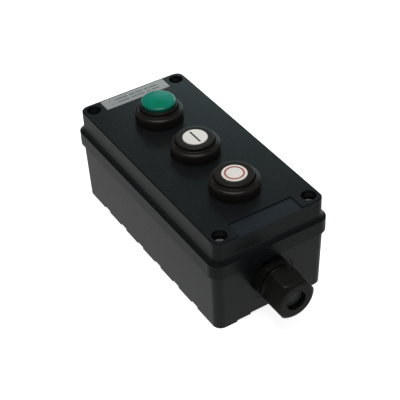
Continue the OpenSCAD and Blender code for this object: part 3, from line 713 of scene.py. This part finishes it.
class STATION_OT_label(Operator):
    """Make the label plate with plain ruled lines"""

    bl_idname = "station.label"
    bl_label = "Label plate"

    def execute(self, context):
        s = context.scene.station_enclosure
        low, high = node_box("label_plate")
        width, length = high[0] - low[0], high[1] - low[1]
        middle = (low + high) / 2
        ease, corner, border, border_corner = 0.12, 0.5, 3, 0.3
        rings = [(width, length, corner, low[2]), (width, length, corner, high[2] - ease)]
        for a in np.linspace(0.3, math.pi / 2, 5):
            inset = 2 * ease * (1 - math.cos(a))
            rings.append((width - inset, length - inset, corner, high[2] - ease + ease * math.sin(a)))
        rings.append((width - border, length - border, border_corner, high[2]))
        plate = moved(lofted("label", rings, 6), (0, middle[1], 0))
        row_at, row_half, row_edge, margin, margin_edge = 1.55, 0.85, 0.3, 4.5, 0.5
        ink_colour = (0.10, 0.105, 0.11, 1.0)
        p = Finish("printed_aluminium")
        x, y, _ = p.axes()
        u, v = x - float(middle[0]), y - float(middle[1])
        grain = p.noise(0.5, 3.0, 0.6, p.stretched((0.12, 1.0, 1.0)))
        cells = p.node("ShaderNodeTexNoise", {"noise_dimensions": "2D"}, {
            "Vector": p.stretched((1.0, 0.02, 0.0)), "Scale": 0.55, "Detail": 1.0})
        rows = p.step(abs(abs(v) - row_at), row_half, row_half - row_edge)
        inside = p.step(abs(u), width / 2 - margin, width / 2 - margin - margin_edge)
        gaps = p.step(cells, 0.40, 0.43)
        ink = rows * inside * gaps * 0.75
        tone = p.blend(grain, shade(s.label, 0.93), shade(s.label, 1.06))
        base = p.blend(ink, tone, ink_colour)
        finish = p.surface(base_color=base, roughness=p.spread(grain, 0.30, 0.44) + ink * 0.15,
                           metallic=0.25, normal=p.bump(grain - ink * 0.8, 0.004))
        stand_for(plate, finish, "station", "label_plate")
        return {"FINISHED"}


class STATION_OT_bezels(Operator):
    """Make the three operators' bezels"""

    bl_idname = "station.bezels"
    bl_label = "Bezels"

    def execute(self, context):
        s = context.scene.station_operators
        black = moulded("operator_black", s.black, rough=0.16, grain=0.8, depth=0.0015, cloud=0.10,
                        ior=1.29)
        for name in OPERATOR_Y:
            ring = turned(name + "_bezel_ring", bezel_profile(), s.segments)
            stand_for(moved(ring, operator_seat(name)), black, "station", name + "_bezel")
        collar = turned("lamp_collar", collar_profile(), s.segments)
        stand_for(moved(collar, operator_seat("lamp")), black, "station", "lamp_guide")
        return {"FINISHED"}


class STATION_OT_buttons(Operator):
    """Make the caps, discs and symbols of the two buttons"""

    bl_idname = "station.buttons"
    bl_label = "Buttons"

    def execute(self, context):
        s = context.scene.station_operators
        # Painted shade: the caps are a copy of the bezels' black painted a tenth darker, to darken their
        # tops against the light they catch.
        black = moulded("cap_black_painted_darker", shade(s.black, 0.9), rough=0.18, grain=0.9, depth=0.002, cloud=0.10,
                        ior=1.30)
        white = moulded("disc_white", s.disc, rough=0.33, grain=0.6, depth=0.003, cloud=0.035, coat=0.1)
        ink = moulded("symbol_black", (0.012, 0.012, 0.013), rough=0.35, grain=0.3, depth=0.002)
        red = moulded("symbol_red", s.red, rough=0.35, grain=0.3, depth=0.002, cloud=0.05)
        for name in ("start", "stop"):
            body = name + "_button"
            cap = turned(name + "_cap_shell", cap_profile(), s.segments, closed=False)
            stand_for(moved(cap, operator_seat(name)), black, body, name + "_cap")
            top, radius = above_lid(name + "_disc"), half_width(name + "_disc")
            under = top - DISC_THICKNESS
            disc = fillet([(AXIS, top), (radius, top), (radius, under), (AXIS, under)],
                          [0, 0.3, 0.1, 0], 7)
            disc = turned(name + "_disc_face", disc, s.segments, closed=False)
            stand_for(moved(disc, operator_seat(name)), white, body, name + "_disc")
        line, thickness = 0.9, 0.15
        outer, high = half_width("stop_ring"), above_lid("stop_ring")
        inner, low, middle = outer - line, high - thickness, outer - line / 2
        ring = fillet([(middle, low), (outer, low), (outer, high), (inner, high), (inner, low),
                       (middle, low)], [0, 0, 0.1, 0.1, 0, 0], 5)
        ring = turned("stop_symbol", ring, s.segments)
        stand_for(moved(ring, operator_seat("stop")), red, "stop_button", "stop_ring")
        low, high = node_box("start_bar")
        width, length, ease, corner = high[0] - low[0], high[1] - low[1], 0.06, 0.2
        rings = [(width, length, corner, low[2]), (width, length, corner, high[2] - ease),
                 (width - 2 * ease, length - 2 * ease, corner - ease, high[2])]
        bar = lofted("start_symbol", rings, 5)
        stand_for(moved(bar, (0, OPERATOR_Y["start"], 0)), ink, "start_button", "start_bar")
        return {"FINISHED"}


class STATION_OT_lens(Operator):
    """Make the pilot light's lens"""

    bl_idname = "station.lens"
    bl_label = "Lens"

    def execute(self, context):
        s = context.scene.station_operators
        lens = turned("pilot_lens", lens_profile(), s.segments, sharp=50)
        # Painted light on the lens: the first colour stands for a painted reflection of bright surroundings
        # on the back of the dome, the second for a painted glow in a spot at its front.
        pale, painted_glow_green = (0.045, 0.36, 0.30, 1.0), (0.0, 0.33, 0.18, 1.0)
        wall_low, wall_high = LID_TOP + 10.5, LID_TOP + 13.2
        middle, flank, rim = 2.0, 9.0, 9.8
        spot_x, spot_y, spot_in, spot_out = 1.7, 4.8, 1.5, 7.0
        p = Finish("green_lens")
        clouds = p.noise(3.0, 3.0, 0.55)
        x, y, z = p.axes()
        # Painted shade: the lens is painted half as bright low on its wall, rising to its full colour at
        # the dome's edge.
        height = p.step(z, wall_low, wall_high)
        base = p.blend(height, shade(s.lens, 0.5), shade(s.lens, 1.0))
        along = y - OPERATOR_Y["lamp"]
        away = p.length(x, along)
        # Painted glow: the dome's middle is painted a fifth lighter, mottled by the clouds, fading out
        # towards its flank.
        base = p.blend(p.step(away, flank, middle) * clouds, base, shade(s.lens, 1.2))
        # Painted reflection: the back half of the dome is blended up to halfway towards the pale colour.
        base = p.blend(p.step(along, 0.0, flank) * 0.5, base, pale)
        # Painted glow: a spot a little left of and in front of the middle is painted a deeper, more
        # saturated green.
        from_spot = p.length(x + spot_x, along + spot_y)
        base = p.blend(p.step(from_spot, spot_out, spot_in) * 0.9, base, painted_glow_green)
        edge = p.step(away, flank, rim)
        finish = p.surface(base_color=base, roughness=p.spread(clouds, 0.26, 0.36) - edge * 0.2,
                           coat_weight=edge, coat_roughness=0.04, transmission_weight=0.45, ior=1.19,
                           normal=p.bump(clouds, 0.02))
        stand_for(moved(lens, operator_seat("lamp")), finish, "station", "lamp_lens")
        return {"FINISHED"}


class STATION_OT_gland(Operator):
    """Make the cable gland's outer pieces"""

    bl_idname = "station.gland"
    bl_label = "Cable gland"

    def execute(self, context):
        s = context.scene.station_gland
        hexagon = s.across_flats
        black = moulded("gland_black", s.colour, rough=0.34, grain=0.5, depth=0.006, cloud=0.12, ior=1.27)
        rubber = moulded("gland_rubber", (0.010, 0.010, 0.010), rough=0.62, grain=0.3, depth=0.004)
        grey = moulded("plug_grey", (0.075, 0.077, 0.078), rough=0.42, grain=0.4, depth=0.003,
                       cloud=0.05, ior=1.3)
        segments, longest = 192, 0.22
        thread, hole, rim, washer_t = 10.0, 10.05, 12.0, 1.2
        washer = fillet([(hole, 0.0), (rim, 0.0), (rim, washer_t), (hole, washer_t)],
                        [0, 0.35, 0.35, 0], 6)
        washer = place_on_gland(turned("gland_flat_washer", washer, 128))
        stand_for(washer, rubber, "station", "gland_washer")
        inside, tail, seal_in, seal_seat = 7.4, -7.8, 8.8, 8.98
        flange, neck, neck_end, chamfer, corner, slope = 5.8, 10.5, 15.65, 13.1, 13.9, 0.55
        body = fillet([(inside, tail), (thread, tail), (thread, washer_t), (chamfer, washer_t),
                       (corner, washer_t + slope), (corner, flange - slope), (chamfer, flange),
                       (neck, flange), (neck, neck_end), (seal_in, neck_end), (seal_in, seal_seat),
                       (inside, seal_seat)],
                      [0, 0.4, 0, 0.1, 0.1, 0.1, 0.1, 0.2, 0.3, 0.3, 0.1, 0.1], 5)
        body = np.concatenate([denser(body, longest), body[:1]])
        body = turned("gland_body_shell", body, segments, hexagon=hexagon,
                      relief=threaded(s.thread_pitch, flange + 0.3, neck_end, 0.55, neck))
        stand_for(place_on_gland(body), black, "station", "gland_body")
        back, nose, tip, mouth = 10.6, 20.7, 24.0, 20.2
        nut_in, cavity, shoulder, opening = 10.55, 9.1, 15.95, 6.2
        nut_edge, nut_corner, nut_slope, nose_radius = 13.6, 13.99, 0.25, 13.86
        shares = [(1.01, 0), (0.96, 0.36), (0.89, 0.68), (0.8, 0.92), (0.74, 1)]
        curve = [(nose_radius * a, nose + (tip - nose) * b) for a, b in shares]
        nut = fillet([(nut_in, back), (nut_edge, back), (nut_corner, back + nut_slope)] + curve +
                     [(opening, tip), (opening, mouth), (cavity, mouth), (cavity, shoulder),
                      (nut_in, shoulder), (nut_in, back)],
                     [0, 0.1, 0.2, 0.2, 0.8, 1.0, 0.8, 0.4, 0.35, 0.15, 0.1, 0.1, 0.1, 0], 6)
        nut = turned("gland_nut_shell", denser(nut, longest), segments, hexagon=hexagon)
        stand_for(place_on_gland(nut), black, "station", "gland_cap_nut")
        disc, disc_low = 8.5, mouth - 1.6
        plug = fillet([(AXIS, mouth), (disc, mouth), (disc, disc_low), (AXIS, disc_low)],
                      [0, 0.3, 0.2, 0], 5)
        plug = turned("gland_blank", plug, closed=False)
        stand_for(place_on_gland(plug), grey, "station", "gland_plug")
        return {"FINISHED"}


class STATION_OT_inside(Operator):
    """Finish the pieces inside the box"""

    bl_idname = "station.inside"
    bl_label = "Inside pieces"

    def execute(self, context):
        steel = metal("inner_steel", (0.52, 0.53, 0.54), rough=0.3)
        brass = metal("inner_brass", (0.60, 0.42, 0.17), rough=0.26, stretch=(1, 6, 6))
        black = moulded("guide_black", (0.011, 0.011, 0.011), rough=0.4, grain=0.6)
        rubber = moulded("black_rubber", (0.011, 0.011, 0.011), rough=0.66, grain=0.25, depth=0.004)
        grey = moulded("block_grey", (0.046, 0.051, 0.056), rough=0.46, grain=0.5, depth=0.006)
        ivory = moulded("plunger_ivory", (0.62, 0.57, 0.45), rough=0.4, grain=0.5, cloud=0.05)
        board = moulded("board_green", (0.015, 0.090, 0.040), rough=0.35, grain=0.3, speck=0.3)
        light = moulded("light_source", (0.62, 0.82, 0.66), rough=0.2, grain=0.8, cloud=0.04)
        dress(steel, "earth_screws", "earth_bar_screws", "lamp_locknut", "lamp_terminal_screws")
        dress(brass, "threaded_inserts", "earth_bar", "lamp_terminals")
        dress(black, "gland_locknut")
        dress(rubber, "lid_gasket", "lamp_seal", "gland_seal")
        dress(grey, "lamp_block", "lamp_block_cover")
        dress(board, "lamp_board")
        dress(light, "lamp_led")
        for name in ("start", "stop"):
            dress(steel, *(name + k for k in ("_locknut", "_stem", "_terminal_screws")))
            shortening_spring(steel, "station", name + "_return_spring", name + "_press")
            dress(brass, name + "_bridges", name + "_terminals")
            dress(black, name + "_guide")
            dress(rubber, name + "_seal", name + "_membrane")
            dress(grey, name + "_block", name + "_block_cover")
            dress(ivory, name + "_plunger")
        shortening_spring(steel, "start_button", "start_contact_springs", "start_contact_slip")
        dress(steel, "stop_contact_springs")
        return {"FINISHED"}


class STATION_OT_stage(Operator):
    """Set up the camera, the lamps, the floor and the white surroundings"""

    bl_idname = "station.stage"
    bl_label = "Stage"

    def execute(self, context):
        scene = context.scene
        s = scene.station_stage
        scene.view_settings.view_transform = "Standard"
        self.camera(scene, s)
        self.floor(s)
        self.world(scene, s)
        low, high = np.array(CAD_BOX)
        centre = Vector((low + high) / 2)
        self.lamp(scene, "key", centre, (-0.05, 0.0, 1.0), (0.8, 0.6), s.key)
        self.lamp(scene, "side", centre, (0.62, 0.56, 0.34), (0.74, 0.45), s.side, (0.72, 0.95, 1.0))
        return {"FINISHED"}

    def camera(self, scene, s):
        """Looks at its target from a distance along the unit vector
        (sin a cos e, -cos a cos e, sin e) of azimuth a and elevation e, rolled about that line."""
        azimuth, elevation, roll = (math.radians(a) for a in (-30.678, 39.653, -2.657))
        target, distance = Vector((-7.577, -15.040, 40.0)) * MM, 670.49 * MM
        back = Vector((math.sin(azimuth) * math.cos(elevation), -math.cos(azimuth) * math.cos(elevation),
                       math.sin(elevation)))
        right = Vector((math.cos(azimuth), math.sin(azimuth), 0))
        up = back.cross(right)
        side = math.cos(roll) * right + math.sin(roll) * up
        top = -math.sin(roll) * right + math.cos(roll) * up
        data = bpy.data.cameras.new("camera")
        data.sensor_width = 36.0
        data.lens = s.focal
        data.clip_end = 20.0
        eye = bpy.data.objects.new("camera", data)
        turn = Matrix((side, top, back)).transposed().to_4x4()
        eye.matrix_world = Matrix.Translation(target + back * distance) @ turn
        scene.collection.objects.link(eye)
        scene.camera = eye

    def lamp(self, scene, name, centre, offset, size, power, colour=(1.0, 1.0, 1.0)):
        """A rectangular lamp at an offset in metres from the part's centre, turned towards it."""
        data = bpy.data.lights.new(name, "AREA")
        data.shape = "RECTANGLE"
        data.size, data.size_y = size
        data.energy = power
        data.color = colour
        lamp = bpy.data.objects.new(name, data)
        lamp.location = centre + Vector(offset)
        lamp.rotation_euler = (-Vector(offset)).to_track_quat("-Z", "Y").to_euler()
        scene.collection.objects.link(lamp)

    def floor(self, s):
        """A flat disc, x = r cos v and y = r sin v, just under the box. It glows for the rays that
        see or reflect it, and takes the part's shadow."""
        white, pale, none, glow_level = (1, 1, 1, 1), (0.86, 0.86, 0.86, 1), (0, 0, 0, 1), 0.85
        material = bpy.data.materials.new("white_floor")
        p = Paint(material)
        seen, glossy = p.rays()
        glow = p.node("ShaderNodeEmission", None, {
            "Color": white, "Strength": seen * glow_level + glossy * s.table})
        plain = p.blend(glossy, pale, none)
        matt = p.node("ShaderNodeBsdfDiffuse", None, {"Color": plain})
        both = p.node("ShaderNodeAddShader", None, {0: glow, 1: matt})
        p.node("ShaderNodeOutputMaterial", None, {"Surface": both})
        reach, below, rings, spokes = 6000, -0.05, 24, 48
        r, v = np.meshgrid(np.linspace(0, reach, rings), np.linspace(0, TURN, spokes, endpoint=False),
                           indexing="ij")
        points = np.stack([r * np.cos(v), r * np.sin(v), np.full_like(r, below)], axis=-1)
        floor = add_mesh("floor", points.reshape(-1, 3), grid_faces(rings, spokes))
        floor.data.materials.append(material)
        if floor.data.polygons[0].normal.z < 0:
            floor.data.flip_normals()

    def world(self, scene, s):
        """White for the rays that see it, and an even light that reflections see darker."""
        world = bpy.data.worlds.new("surroundings")
        p = Paint(world)
        seen, glossy = p.rays()
        level = seen + (glossy * (s.dark - s.sky) + s.sky) * (1 - seen)
        back = p.node("ShaderNodeBackground", None, {"Color": (1, 1, 1, 1), "Strength": level})
        p.node("ShaderNodeOutputWorld", None, {"Surface": back})
        scene.world = world


class STATION_PT_panel(Panel):
    """Lists the makers of the control station's pieces"""

    bl_label = "Control Station"
    bl_idname = "STATION_PT_panel"
    bl_space_type = "VIEW_3D"
    bl_region_type = "UI"
    bl_category = "Control Station"

    def draw(self, context):
        layout = self.layout
        for group in (context.scene.station_enclosure, context.scene.station_operators,
                      context.scene.station_gland, context.scene.station_stage):
            box = layout.box()
            for key in group.__annotations__:
                box.prop(group, key)
        for maker in MAKERS:
            layout.operator(maker.bl_idname)


SETTINGS = {
    "station_enclosure": EnclosureSettings,
    "station_operators": OperatorSettings,
    "station_gland": GlandSettings,
    "station_stage": StageSettings,
}
MAKERS = (
    STATION_OT_enclosure, STATION_OT_lid_screws, STATION_OT_label, STATION_OT_bezels,
    STATION_OT_buttons, STATION_OT_lens, STATION_OT_gland, STATION_OT_inside, STATION_OT_stage,
)


def register():
    for cls in (*SETTINGS.values(), *MAKERS, STATION_PT_panel):
        bpy.utils.register_class(cls)
    for name, cls in SETTINGS.items():
        setattr(bpy.types.Scene, name, PointerProperty(type=cls))


def unregister():
    for name in SETTINGS:
        delattr(bpy.types.Scene, name)
    for cls in (STATION_PT_panel, *reversed(MAKERS), *SETTINGS.values()):
        bpy.utils.unregister_class(cls)


def main():
    """Makes every piece and the stage."""
    register()
    for maker in MAKERS:
        group, name = maker.bl_idname.split(".")
        getattr(getattr(bpy.ops, group), name)()


if __name__ == "__main__":
    main()
